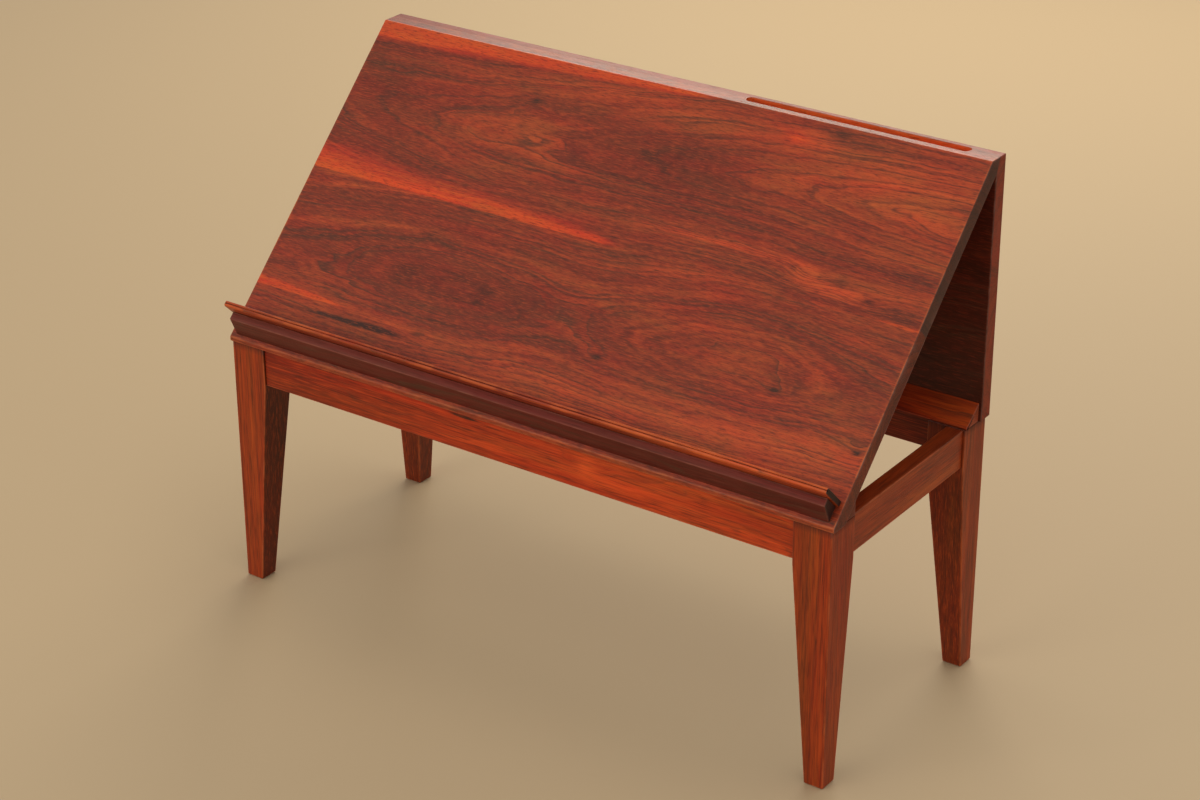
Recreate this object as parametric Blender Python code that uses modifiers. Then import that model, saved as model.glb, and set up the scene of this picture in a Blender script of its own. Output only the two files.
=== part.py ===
"""A slant-top bookstand in walnut, built as its maker would build it.

A low base of four tapered legs and four dowelled aprons carries a reading board at 45 degrees,
mitred at the top to an upright back panel. A moulded ledge on the board holds the book, and a
pencil groove is cut into the flat top, across the mitre.

Metres, +Z up. X runs across the width, and the reader stands on the -Y side. The origin is on the
floor, in the middle of the overall box.
"""

import math

import bmesh
import bpy
from mathutils import Matrix, Vector

NAME = "bookstand"

# Clearance between two pieces that touch, and the softened edges of the timber
JOINT_GAP = 0.0003
ARRIS = 0.0008

# Base
STAND_WIDTH = 0.762
STAND_DEPTH = 0.307
BASE_HEIGHT = 0.292
LEG_TOP_SIDE = 0.0435
LEG_FOOT_SIDE = 0.022
LEG_SQUARE_LENGTH = 0.046
FOOT_CHAMFER = 0.0012
APRON_HEIGHT = 0.043
APRON_THICKNESS = 0.019
APRON_SETBACK = 0.0026

# Reading board, glued up from two planks
BOARD_ANGLE = math.radians(45.0)
BOARD_THICKNESS = 0.019
BOARD_SIDE_OVERHANG = 0.00275
LOWER_PLANK_WIDTH = 0.214
NOSE_PROUD = 0.0011
NOSE_HEIGHT = 0.0053
NOSE_TOP_RADIUS = 0.0022
NOSE_BOTTOM_RADIUS = 0.0012

# Back panel, glued up from two planks, and the flat top over the mitre
PANEL_THICKNESS = 0.019
PANEL_PROUD = 0.0035
PANEL_LOWER_PLANK_WIDTH = 0.150
TOP_FLAT_DEPTH = 0.028

# Pencil groove in the flat top
GROOVE_LENGTH = 0.2635
GROOVE_WIDTH = 0.012
GROOVE_DEPTH = 0.007
GROOVE_END_INSET = 0.0325
GROOVE_BACK_INSET = 0.0068

# Book ledge: a thin shelf square to the board, on a moulding with a slanted lower face
LEDGE_FOOT_RISE = 0.0047
SHELF_RISE = 0.0219
SHELF_THICKNESS = 0.0064
SHELF_DEPTH = 0.0378
SHELF_END_INSET = 0.0042
SHELF_EDGE_RADIUS = 0.0022
MOULDING_DEPTH = 0.0226
MOULDING_FASCIA_HEIGHT = 0.0085
MOULDING_END_INSET = 0.0076

# Triangular cleats in the two lower corners of the top
BACK_CLEAT_DEPTH = 0.0247
BACK_CLEAT_HEIGHT = 0.0205
BACK_CLEAT_BLUNT = 0.0013

# Dowels: two in each apron joint, and one from each leg up into a cleat
DOWEL_DIAMETER = 0.008
DOWEL_LENGTH = 0.036
DOWEL_SPACING = 0.021
DOWEL_CHAMFER = 0.0008
DOWEL_END_CLEARANCE = 0.001
TOP_DOWEL_DIAMETER = 0.006
TOP_DOWEL_IN_LEG = 0.016
TOP_DOWEL_IN_CLEAT = 0.008
TOP_DOWEL_CLEAT_INSET = 0.0072
ROUND_SIDES = 12

# Countersunk screws through the board into the ledge moulding
SCREW_COUNT = 4
SCREW_END_INSET = 0.075
SCREW_RISE = 0.0172
SCREW_LENGTH = 0.030
SCREW_SHANK_DIAMETER = 0.0035
SCREW_HEAD_DIAMETER = 0.0066
SCREW_HEAD_HEIGHT = 0.0024
SCREW_RIM = 0.0003
SCREW_TIP_LENGTH = 0.004
SCREW_TIP_RADIUS = 0.0004

# Levels, faces and (y, z) directions that several pieces share
HALF_WIDTH = STAND_WIDTH / 2
HALF_DEPTH = STAND_DEPTH / 2
SEAT = BASE_HEIGHT + JOINT_GAP
TOP_HALF_WIDTH = HALF_WIDTH + BOARD_SIDE_OVERHANG
NOSE_Y = -HALF_DEPTH - NOSE_PROUD
NOSE_Z = SEAT + NOSE_HEIGHT
PANEL_OUTER_Y = HALF_DEPTH + PANEL_PROUD
PANEL_INNER_Y = PANEL_OUTER_Y - PANEL_THICKNESS
TOP_FRONT_Y = PANEL_OUTER_Y - TOP_FLAT_DEPTH
TOP_Z = NOSE_Z + (TOP_FRONT_Y - NOSE_Y) * math.tan(BOARD_ANGLE)
PANEL_JOINT_Z = SEAT + PANEL_LOWER_PLANK_WIDTH
APRON_LEVEL = BASE_HEIGHT - APRON_HEIGHT / 2
APRON_LINE_X = HALF_WIDTH - APRON_SETBACK - APRON_THICKNESS / 2
APRON_LINE_Y = HALF_DEPTH - APRON_SETBACK - APRON_THICKNESS / 2
UP_SLOPE = Vector((math.cos(BOARD_ANGLE), math.sin(BOARD_ANGLE)))
OUT_OF_FACE = Vector((-math.sin(BOARD_ANGLE), math.cos(BOARD_ANGLE)))
LEVEL = Vector((1, 0))
UPRIGHT = Vector((0, 1))

# The legs' corners, each a quarter turn on from the last: end, side in Y, hand, side in X
CORNERS = [("front", -1, "left", -1), ("front", -1, "right", 1), ("back", 1, "right", 1),
           ("back", 1, "left", -1)]

# Points nearer than this are one, and an edge this close to an axis runs along it
MERGE_DISTANCE = 0.000001
MOSTLY = 0.9

# Colours as seen in the timber, in sRGB, and roughness
WALNUT = {
    "leg": ((138, 62, 36), 0.42),
    "apron": ((140, 58, 38), 0.42),
    "board": ((132, 56, 42), 0.34),
    "panel": ((112, 54, 38), 0.42),
    "ledge": ((120, 50, 34), 0.36),
    "cleat": ((150, 62, 30), 0.45),
}
BIRCH = ((205, 176, 132), 0.55)
STEEL = ((150, 152, 155), 0.35)


def clear_scene():
    for obj in list(bpy.data.objects):
        bpy.data.objects.remove(obj, do_unlink=True)


def new_collection(name):
    collection = bpy.data.collections.new(name)
    bpy.context.scene.collection.children.link(collection)
    return collection


def linear(srgb):
    """sRGB values of 0 to 255 as the linear colour that a shader takes."""
    scaled = [value / 255 for value in srgb]
    return [v / 12.92 if v <= 0.04045 else ((v + 0.055) / 1.055) ** 2.4 for v in scaled] + [1.0]


def new_material(name, finish, metallic=0.0):
    colour, roughness = finish
    material = bpy.data.materials.new(name)
    material.use_nodes = True
    shader = material.node_tree.nodes["Principled BSDF"]
    shader.inputs["Base Color"].default_value = linear(colour)
    shader.inputs["Roughness"].default_value = roughness
    shader.inputs["Metallic"].default_value = metallic
    material.diffuse_color = linear(colour)
    return material


def add_object(name, data, collection, parent):
    obj = bpy.data.objects.new(name, data)
    collection.objects.link(obj)
    obj.parent = parent
    return obj


def add_part(name, data, stand, finish, metallic=0.0):
    obj = add_object(name, data, stand["parts"], stand["origin"])
    obj.data.materials.clear()
    obj.data.materials.append(new_material(name, finish, metallic))
    return obj


def mesh_from(bm, name):
    bmesh.ops.recalc_face_normals(bm, faces=bm.faces)
    mesh = bpy.data.meshes.new(name)
    bm.to_mesh(mesh)
    bm.free()
    return mesh


def evaluated_mesh(obj):
    """The object's mesh with its modifiers applied, and the object removed."""
    graph = bpy.context.evaluated_depsgraph_get()
    mesh = bpy.data.meshes.new_from_object(obj.evaluated_get(graph))
    bpy.data.objects.remove(obj, do_unlink=True)
    return mesh


def arc_corner(before, corner, after, radius, steps=3):
    """Points of an arc that rounds a corner, tangent to both of its sides."""
    towards = (before - corner).normalized()
    onwards = (after - corner).normalized()
    half_angle = towards.angle(onwards) / 2
    reach = radius / math.tan(half_angle)
    centre = corner + (towards + onwards).normalized() * radius / math.sin(half_angle)
    start = corner + towards * reach - centre
    turn = start.angle_signed(corner + onwards * reach - centre)
    return [centre + Matrix.Rotation(-turn * i / steps, 2) @ start for i in range(steps + 1)]


def rounded_outline(corners):
    """Outline points from (point, radius) corners: radius 0 keeps a corner sharp."""
    points = []
    for i, (corner, radius) in enumerate(corners):
        before = corners[i - 1][0]
        after = corners[(i + 1) % len(corners)][0]
        if radius:
            points += arc_corner(before, corner, after, radius)
        else:
            points.append(corner)
    return points


def outline_mesh(name, outline, half_thickness, matrix, collection):
    """A solid from a flat outline in X and Y, thickened along Z both ways, then moved."""
    curve = bpy.data.curves.new(name, "CURVE")
    curve.dimensions = "2D"
    curve.fill_mode = "BOTH"
    curve.extrude = half_thickness
    spline = curve.splines.new("POLY")
    spline.points.add(len(outline) - 1)
    for point, place in zip(spline.points, outline):
        point.co = (place[0], place[1], 0.0, 1.0)
    spline.use_cyclic_u = True
    section = add_object(name + "_outline", curve, collection, None)
    bpy.context.view_layer.update()
    mesh = evaluated_mesh(section)
    mesh.transform(matrix)
    bm = bmesh.new()
    bm.from_mesh(mesh)
    bpy.data.meshes.remove(mesh)
    bmesh.ops.remove_doubles(bm, verts=bm.verts, dist=MERGE_DISTANCE)
    return mesh_from(bm, name)


def strip_mesh(name, section, half_length, stand):
    """A strip along X with a (y, z) section, centred on X = 0."""
    turn = Matrix(((0, 0, 1, 0), (1, 0, 0, 0), (0, 1, 0, 0), (0, 0, 0, 1)))
    return outline_mesh(name, section, half_length, turn, stand["cutters"])


def box_bmesh(size):
    bm = bmesh.new()
    bmesh.ops.create_cube(bm, size=1.0)
    bmesh.ops.scale(bm, vec=size, verts=bm.verts)
    return bm


def soften_along(bm, axis):
    """Rounds the edges that run mostly along one axis."""
    edges = []
    for edge in bm.edges:
        along = edge.verts[1].co - edge.verts[0].co
        if abs(along[axis]) > along.length * MOSTLY:
            edges.append(edge)
    bmesh.ops.bevel(bm, geom=edges, offset=ARRIS, segments=2, profile=0.5, affect="EDGES")


def turned_mesh(name, profile, collection):
    """A solid of revolution about Z. The (radius, z) profile runs from its top to its bottom."""
    mesh = bpy.data.meshes.new(name)
    points = [(radius, 0.0, z) for radius, z in profile]
    mesh.from_pydata(points, [(i, i + 1) for i in range(len(points) - 1)], [])
    obj = add_object(name + "_profile", mesh, collection, None)
    screw = obj.modifiers.new("turn", "SCREW")
    screw.axis = "Z"
    screw.steps = screw.render_steps = ROUND_SIDES
    screw.use_merge_vertices = True
    screw.merge_threshold = MERGE_DISTANCE
    bpy.context.view_layer.update()
    bm = bmesh.new()
    bm.from_mesh(evaluated_mesh(obj))
    return mesh_from(bm, name)


def placed(place, direction):
    """The matrix that moves Z to a direction, and the origin to a place."""
    turn = Vector((0, 0, 1)).rotation_difference(Vector(direction)).to_matrix().to_4x4()
    return Matrix.Translation(place) @ turn


def cut_holes(target, shapes, stand):
    """Cuts each (mesh, place, direction) shape out of the target with one Boolean."""
    bm = bmesh.new()
    for mesh, place, direction in shapes:
        copy = mesh.copy()
        copy.transform(placed(place, direction))
        bm.from_mesh(copy)
        bpy.data.meshes.remove(copy)
    cutter = add_object(target.name + "_holes", mesh_from(bm, target.name + "_holes"),
                        stand["cutters"], stand["origin"])
    add_boolean(target, cutter)


def add_boolean(target, cutter):
    cutter.hide_render = True
    cutter.display_type = "WIRE"
    boolean = target.modifiers.new("cut " + cutter.name, "BOOLEAN")
    boolean.operation = "DIFFERENCE"
    boolean.solver = "EXACT"
    boolean.object = cutter


def slope_point(rise, out):
    """The (y, z) of a point up the board from its nose and out of its face."""
    return Vector((NOSE_Y, NOSE_Z)) + UP_SLOPE * rise + OUT_OF_FACE * out


def lines_meet(point, direction, other, other_direction):
    """Where two lines in the (y, z) plane cross."""
    across = Vector((-other_direction.y, other_direction.x))
    return point + direction * (other - point).dot(across) / direction.dot(across)


def on_underside(other, other_direction, gap=0.0):
    """Where a line crosses the board's underside, or a line a gap below it."""
    return lines_meet(slope_point(0, -BOARD_THICKNESS - gap), UP_SLOPE, other, other_direction)


def mitre_points(side):
    """Where a plank's mitred end meets the flat top and the plank's inner face.

    side is -1 for the board and +1 for the panel, each half a gap off the mitre plane.
    """
    inner_face = Vector((PANEL_INNER_Y, 0))
    outer = lines_meet(slope_point(0, 0), UP_SLOPE, Vector((PANEL_OUTER_Y, 0)), UPRIGHT)
    inner = on_underside(inner_face, UPRIGHT)
    along = (outer - inner).normalized()
    face = inner + Vector((along.y, -along.x)) * side * JOINT_GAP / 2
    at_top = lines_meet(face, along, Vector((0, TOP_Z)), LEVEL)
    if side < 0:
        return at_top, on_underside(face, along)
    return at_top, lines_meet(face, along, inner_face, UPRIGHT)


def shelf_corners():
    low, high = SHELF_RISE, SHELF_RISE + SHELF_THICKNESS
    return [
        (slope_point(low, JOINT_GAP), 0),
        (slope_point(high, JOINT_GAP), 0),
        (slope_point(high, SHELF_DEPTH), SHELF_EDGE_RADIUS),
        (slope_point(low, SHELF_DEPTH), SHELF_EDGE_RADIUS),
    ]


def leg_mesh():
    """Square at the top, then tapered on its two inner faces, with its outer foot corner at 0."""
    bm = box_bmesh((LEG_TOP_SIDE, LEG_TOP_SIDE, BASE_HEIGHT))
    bmesh.ops.translate(bm, vec=(LEG_TOP_SIDE / 2, LEG_TOP_SIDE / 2, BASE_HEIGHT / 2), verts=bm.verts)
    feet = [vert for vert in bm.verts if vert.co.z < BASE_HEIGHT / 2]
    bmesh.ops.bisect_plane(bm, geom=bm.verts[:] + bm.edges[:] + bm.faces[:],
                           plane_co=(0, 0, BASE_HEIGHT - LEG_SQUARE_LENGTH), plane_no=(0, 0, 1))
    bmesh.ops.scale(bm, vec=(LEG_FOOT_SIDE / LEG_TOP_SIDE, LEG_FOOT_SIDE / LEG_TOP_SIDE, 1), verts=feet)
    sole = [edge for edge in bm.edges if edge.verts[0] in feet and edge.verts[1] in feet]
    bmesh.ops.bevel(bm, geom=sole, offset=FOOT_CHAMFER, segments=1, affect="EDGES")
    soften_along(bm, 2)
    return mesh_from(bm, "leg")


def make_legs(stand):
    """One leg shape in four corners, a quarter turn apart."""
    mesh = leg_mesh()
    legs = {}
    for turn, (end, side_y, hand, side_x) in enumerate(CORNERS):
        leg = add_part(f"leg_{end}_{hand}", mesh.copy(), stand, WALNUT["leg"])
        leg.location = (side_x * HALF_WIDTH, side_y * HALF_DEPTH, 0)
        leg.rotation_euler = (0, 0, turn * math.pi / 2)
        legs[end, hand] = leg
    bpy.data.meshes.remove(mesh)
    return legs


def make_aprons(stand):
    """A rail between each two neighbouring legs, set back from their outer faces."""
    length_x = STAND_WIDTH - 2 * (LEG_TOP_SIDE + JOINT_GAP)
    length_y = STAND_DEPTH - 2 * (LEG_TOP_SIDE + JOINT_GAP)
    rails = [
        ("front", 0, (length_x, APRON_THICKNESS, APRON_HEIGHT), (0, -APRON_LINE_Y)),
        ("back", 0, (length_x, APRON_THICKNESS, APRON_HEIGHT), (0, APRON_LINE_Y)),
        ("left", 1, (APRON_THICKNESS, length_y, APRON_HEIGHT), (-APRON_LINE_X, 0)),
        ("right", 1, (APRON_THICKNESS, length_y, APRON_HEIGHT), (APRON_LINE_X, 0)),
    ]
    aprons = {}
    for side, axis, size, (x, y) in rails:
        bm = box_bmesh(size)
        soften_along(bm, axis)
        apron = add_part("apron_" + side, mesh_from(bm, "apron_" + side), stand, WALNUT["apron"])
        apron.location = (x, y, APRON_LEVEL)
        aprons[side] = apron
    return aprons


def pin_profile(radius, top, bottom, chamfer):
    """A round pin with chamfered ends, as a profile from top to bottom."""
    return [(0, top), (radius - chamfer, top), (radius, top - chamfer),
            (radius, bottom + chamfer), (radius - chamfer, bottom), (0, bottom)]


def hole_profile(radius, top, bottom):
    return [(0, top), (radius, top), (radius, bottom), (0, bottom)]


def add_turned(name, profile, place, direction, stand, finish, metallic=0.0):
    obj = add_part(name, turned_mesh(name, profile, stand["cutters"]), stand, finish, metallic)
    obj.matrix_local = placed(place, direction)
    obj.data.shade_smooth()
    obj.data.set_sharp_from_angle(angle=math.radians(40))
    return obj


def apron_joints():
    """Each apron joint: its leg, its apron, the middle of its face on the leg, and its axis."""
    face_x = HALF_WIDTH - LEG_TOP_SIDE
    face_y = HALF_DEPTH - LEG_TOP_SIDE
    for end, side_y, hand, side_x in CORNERS:
        leg = (end, hand)
        yield leg, end, Vector((side_x * face_x, side_y * APRON_LINE_Y, APRON_LEVEL)), (side_x, 0, 0)
        yield leg, hand, Vector((side_x * APRON_LINE_X, side_y * face_y, APRON_LEVEL)), (0, side_y, 0)


def join_base(legs, aprons, stand):
    """Two dowels in each leg and apron joint, in holes bored in both. Returns the legs' holes."""
    half_hole = DOWEL_LENGTH / 2 + DOWEL_END_CLEARANCE
    hole = turned_mesh("dowel_hole", hole_profile(DOWEL_DIAMETER / 2 + JOINT_GAP, half_hole, -half_hole),
                       stand["cutters"])
    pin = pin_profile(DOWEL_DIAMETER / 2, DOWEL_LENGTH / 2, -DOWEL_LENGTH / 2, DOWEL_CHAMFER)
    leg_holes = {key: [] for key in legs}
    apron_holes = {key: [] for key in aprons}
    for leg_key, apron_key, middle, axis in apron_joints():
        for level, side in (("upper", 1), ("lower", -1)):
            place = middle + Vector((0, 0, side * DOWEL_SPACING / 2))
            name = f"dowel_{leg_key[0]}_{leg_key[1]}_leg_{apron_key}_apron_{level}"
            add_turned(name, pin, place, axis, stand, BIRCH)
            leg_holes[leg_key].append((hole, place, axis))
            apron_holes[apron_key].append((hole, place, axis))
    for key, holes in apron_holes.items():
        cut_holes(aprons[key], holes, stand)
    return leg_holes


def make_board(stand):
    """Two planks edge to edge: the lower one ends in the nose, the upper one in the mitre."""
    joint = LOWER_PLANK_WIDTH - JOINT_GAP / 2
    lower = rounded_outline([
        (Vector((NOSE_Y, SEAT)), NOSE_BOTTOM_RADIUS),
        (slope_point(0, 0), NOSE_TOP_RADIUS),
        (slope_point(joint, 0), 0),
        (slope_point(joint, -BOARD_THICKNESS), 0),
        (on_underside(Vector((0, SEAT)), LEVEL), 0),
    ])
    joint += JOINT_GAP
    at_top, at_apex = mitre_points(-1)
    upper = rounded_outline([
        (slope_point(joint, 0), 0),
        (Vector((TOP_FRONT_Y, TOP_Z)), ARRIS),
        (at_top, 0),
        (at_apex, 0),
        (slope_point(joint, -BOARD_THICKNESS), 0),
    ])
    planks = {}
    for name, outline in (("board_lower_plank", lower), ("board_upper_plank", upper)):
        mesh = strip_mesh(name, outline, TOP_HALF_WIDTH, stand)
        planks[name] = add_part(name, mesh, stand, WALNUT["board"])
    return planks


def make_panel(stand):
    """Two planks edge to edge: the lower one stands on the base, the upper one ends in the mitre."""
    joint = PANEL_JOINT_Z - JOINT_GAP / 2
    lower = rounded_outline([
        (Vector((PANEL_INNER_Y, SEAT)), 0),
        (Vector((PANEL_OUTER_Y, SEAT)), ARRIS),
        (Vector((PANEL_OUTER_Y, joint)), 0),
        (Vector((PANEL_INNER_Y, joint)), 0),
    ])
    joint += JOINT_GAP
    at_top, at_apex = mitre_points(1)
    upper = rounded_outline([
        (Vector((PANEL_INNER_Y, joint)), 0),
        (Vector((PANEL_OUTER_Y, joint)), 0),
        (Vector((PANEL_OUTER_Y, TOP_Z)), ARRIS),
        (at_top, 0),
        (at_apex, 0),
    ])
    planks = {}
    for name, outline in (("panel_lower_plank", lower), ("panel_upper_plank", upper)):
        mesh = strip_mesh(name, outline, TOP_HALF_WIDTH, stand)
        planks[name] = add_part(name, mesh, stand, WALNUT["panel"])
    return planks


def cut_groove(planks, stand):
    """A pencil groove with round ends, cut across the mitre, so that both planks hold a part of it."""
    radius = GROOVE_WIDTH / 2
    middle_y = PANEL_OUTER_Y - GROOVE_BACK_INSET - radius
    right = TOP_HALF_WIDTH - GROOVE_END_INSET - radius
    left = TOP_HALF_WIDTH - GROOVE_END_INSET - GROOVE_LENGTH + radius
    outline = []
    for centre, first in ((right, -math.pi / 2), (left, math.pi / 2)):
        for i in range(ROUND_SIDES + 1):
            angle = first + i * math.pi / ROUND_SIDES
            outline.append((centre + radius * math.cos(angle), middle_y + radius * math.sin(angle)))
    lift = Matrix.Translation((0, 0, TOP_Z))
    mesh = outline_mesh("groove", outline, GROOVE_DEPTH, lift, stand["cutters"])
    cutter = add_object("groove", mesh, stand["cutters"], stand["origin"])
    for plank in planks:
        add_boolean(plank, cutter)


def make_ledge(stand):
    """A thin shelf square to the board, and the moulding that carries it."""
    shelf_end = TOP_HALF_WIDTH - SHELF_END_INSET
    mesh = strip_mesh("ledge_shelf", rounded_outline(shelf_corners()), shelf_end, stand)
    add_part("ledge_shelf", mesh, stand, WALNUT["ledge"])
    top = SHELF_RISE - JOINT_GAP
    outline = rounded_outline([
        (slope_point(LEDGE_FOOT_RISE, JOINT_GAP), 0),
        (slope_point(top, JOINT_GAP), 0),
        (slope_point(top, MOULDING_DEPTH), 0),
        (slope_point(top - MOULDING_FASCIA_HEIGHT, MOULDING_DEPTH), ARRIS / 2),
    ])
    mesh = strip_mesh("ledge_moulding", outline, TOP_HALF_WIDTH - MOULDING_END_INSET, stand)
    return add_part("ledge_moulding", mesh, stand, WALNUT["ledge"])


def screw_profile(clearance, top):
    """A countersunk screw, its head's rim at z = 0, with a clearance all over and up to a top."""
    head = SCREW_HEAD_DIAMETER / 2 + clearance
    shank = SCREW_SHANK_DIAMETER / 2 + clearance
    tip = -SCREW_LENGTH - clearance
    return [(0, top), (head, top), (head, 0), (shank, -SCREW_HEAD_HEIGHT),
            (shank, tip + SCREW_TIP_LENGTH), (SCREW_TIP_RADIUS + clearance, tip), (0, tip)]


def fix_ledge(board_plank, moulding, stand):
    """Countersunk screws from the board's underside into the moulding, evenly spaced."""
    depth = SCREW_RIM + JOINT_GAP
    hole = turned_mesh("screw_hole", screw_profile(JOINT_GAP, depth + JOINT_GAP), stand["cutters"])
    reach = TOP_HALF_WIDTH - MOULDING_END_INSET - SCREW_END_INSET
    y, z = slope_point(SCREW_RISE, depth - BOARD_THICKNESS)
    out_of_board = (0, -OUT_OF_FACE.x, -OUT_OF_FACE.y)
    holes = []
    for i in range(SCREW_COUNT):
        place = Vector((-reach + 2 * reach * i / (SCREW_COUNT - 1), y, z))
        add_turned(f"ledge_screw_{i + 1}", screw_profile(0, SCREW_RIM), place, out_of_board, stand,
                   STEEL, 1.0)
        holes.append((hole, place, out_of_board))
    cut_holes(board_plank, holes, stand)
    cut_holes(moulding, holes, stand)


def make_cleats(stand):
    """Triangular strips in the corners between the base and the board, and the base and the panel."""
    corner = Vector((-HALF_DEPTH + LEG_TOP_SIDE, SEAT))
    front = [on_underside(corner, LEVEL, JOINT_GAP), corner, on_underside(corner, UPRIGHT, JOINT_GAP)]
    back_y = PANEL_INNER_Y - JOINT_GAP
    back = [Vector((back_y - BACK_CLEAT_DEPTH, SEAT)), Vector((back_y, SEAT)),
            Vector((back_y, SEAT + BACK_CLEAT_HEIGHT)),
            Vector((back_y - BACK_CLEAT_DEPTH, SEAT + BACK_CLEAT_BLUNT))]
    cleats = {}
    for end, outline in (("front", front), ("back", back)):
        name = end + "_cleat"
        mesh = strip_mesh(name, outline, HALF_WIDTH, stand)
        cleats[end] = add_part(name, mesh, stand, WALNUT["cleat"])
    return cleats


def pin_top(cleats, leg_holes, stand):
    """One upright dowel from the top of each leg into the cleat above it."""
    clear = DOWEL_END_CLEARANCE
    pin = pin_profile(TOP_DOWEL_DIAMETER / 2, TOP_DOWEL_IN_CLEAT, -TOP_DOWEL_IN_LEG, DOWEL_CHAMFER)
    bore = hole_profile(TOP_DOWEL_DIAMETER / 2 + JOINT_GAP, TOP_DOWEL_IN_CLEAT + clear / 2,
                        -TOP_DOWEL_IN_LEG - clear)
    hole = turned_mesh("top_dowel_hole", bore, stand["cutters"])
    lines = {"front": -HALF_DEPTH + LEG_TOP_SIDE - TOP_DOWEL_CLEAT_INSET,
             "back": PANEL_INNER_Y - JOINT_GAP - TOP_DOWEL_CLEAT_INSET}
    for end, y in lines.items():
        holes = []
        for hand, side in (("left", -1), ("right", 1)):
            place = Vector((side * (HALF_WIDTH - LEG_TOP_SIDE / 2), y, BASE_HEIGHT))
            add_turned(f"top_dowel_{end}_{hand}", pin, place, (0, 0, 1), stand, BIRCH)
            holes.append((hole, place, (0, 0, 1)))
            leg_holes[end, hand].append(holes[-1])
        cut_holes(cleats[end], holes, stand)


def build():
    clear_scene()
    stand = {"parts": new_collection(NAME), "cutters": new_collection(NAME + "_cutters")}
    stand["origin"] = add_object(NAME + "_origin", None, stand["parts"], None)
    front_y = min(point.x for point in rounded_outline(shelf_corners()))
    stand["origin"].location = (0, -(front_y + PANEL_OUTER_Y) / 2, 0)

    legs = make_legs(stand)
    aprons = make_aprons(stand)
    leg_holes = join_base(legs, aprons, stand)
    board = make_board(stand)
    panel = make_panel(stand)
    cut_groove([board["board_upper_plank"], panel["panel_upper_plank"]], stand)
    moulding = make_ledge(stand)
    fix_ledge(board["board_lower_plank"], moulding, stand)
    cleats = make_cleats(stand)
    pin_top(cleats, leg_holes, stand)
    for key, holes in leg_holes.items():
        cut_holes(legs[key], holes, stand)


build()
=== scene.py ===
# %% [markdown]
# A slant-top bookstand in oiled walnut: four tapered legs, four rails, a board glued up from two
# planks, an upright back panel and a book ledge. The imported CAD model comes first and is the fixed
# frame. Everything below is worked out in its coordinates: metres, +X to the reader's right, +Y
# away from the reader, +Z up, with the floor at zero.

import math

import bmesh
import bpy
import numpy as np
from mathutils import Matrix, Vector


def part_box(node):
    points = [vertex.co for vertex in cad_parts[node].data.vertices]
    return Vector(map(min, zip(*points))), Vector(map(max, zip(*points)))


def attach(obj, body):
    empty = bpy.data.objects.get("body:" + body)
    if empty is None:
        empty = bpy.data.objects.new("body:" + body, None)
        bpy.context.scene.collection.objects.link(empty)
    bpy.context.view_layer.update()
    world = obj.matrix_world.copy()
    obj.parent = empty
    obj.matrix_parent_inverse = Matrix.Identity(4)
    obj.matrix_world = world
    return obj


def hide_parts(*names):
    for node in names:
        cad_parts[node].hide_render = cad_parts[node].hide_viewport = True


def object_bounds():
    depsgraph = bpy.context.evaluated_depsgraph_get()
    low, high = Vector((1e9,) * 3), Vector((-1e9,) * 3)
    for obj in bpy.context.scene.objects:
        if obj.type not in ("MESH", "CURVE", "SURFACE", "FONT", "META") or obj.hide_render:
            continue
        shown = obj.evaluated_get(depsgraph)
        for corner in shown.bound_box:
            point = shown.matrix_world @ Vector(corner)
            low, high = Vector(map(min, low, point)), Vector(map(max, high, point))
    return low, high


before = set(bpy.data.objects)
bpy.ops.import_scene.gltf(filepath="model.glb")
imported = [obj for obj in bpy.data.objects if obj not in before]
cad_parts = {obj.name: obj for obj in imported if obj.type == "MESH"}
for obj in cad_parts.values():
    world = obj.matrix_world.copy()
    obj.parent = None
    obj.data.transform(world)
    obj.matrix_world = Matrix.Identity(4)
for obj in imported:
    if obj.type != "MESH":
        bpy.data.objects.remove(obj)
cad_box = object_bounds()
print("CAD nodes:", len(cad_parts), "box:", [tuple(round(v, 4) for v in corner) for corner in cad_box])

# %% [markdown]
# Every stick of timber here is a strip: one section carried along a straight line. Its long edges
# (a joiner calls them arrises) have been taken off with a stroke of the plane, and light catches
# on that narrow rounding. A Bevel modifier would round every edge alike. A section worked out from
# its side lines rounds the free edges and leaves the glued ones sharp.

# %% Section of a strip
ARRIS = 0.0008
ARC_STEPS = 4
FADE = np.array([0.00035, 0.0016])
FADE_WEAR = np.array([0.4, 0.0])
LEAST_RADIUS_SHARE = 0.03


def unit(vectors):
    return vectors / np.linalg.norm(vectors, axis=-1, keepdims=True)


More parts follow.
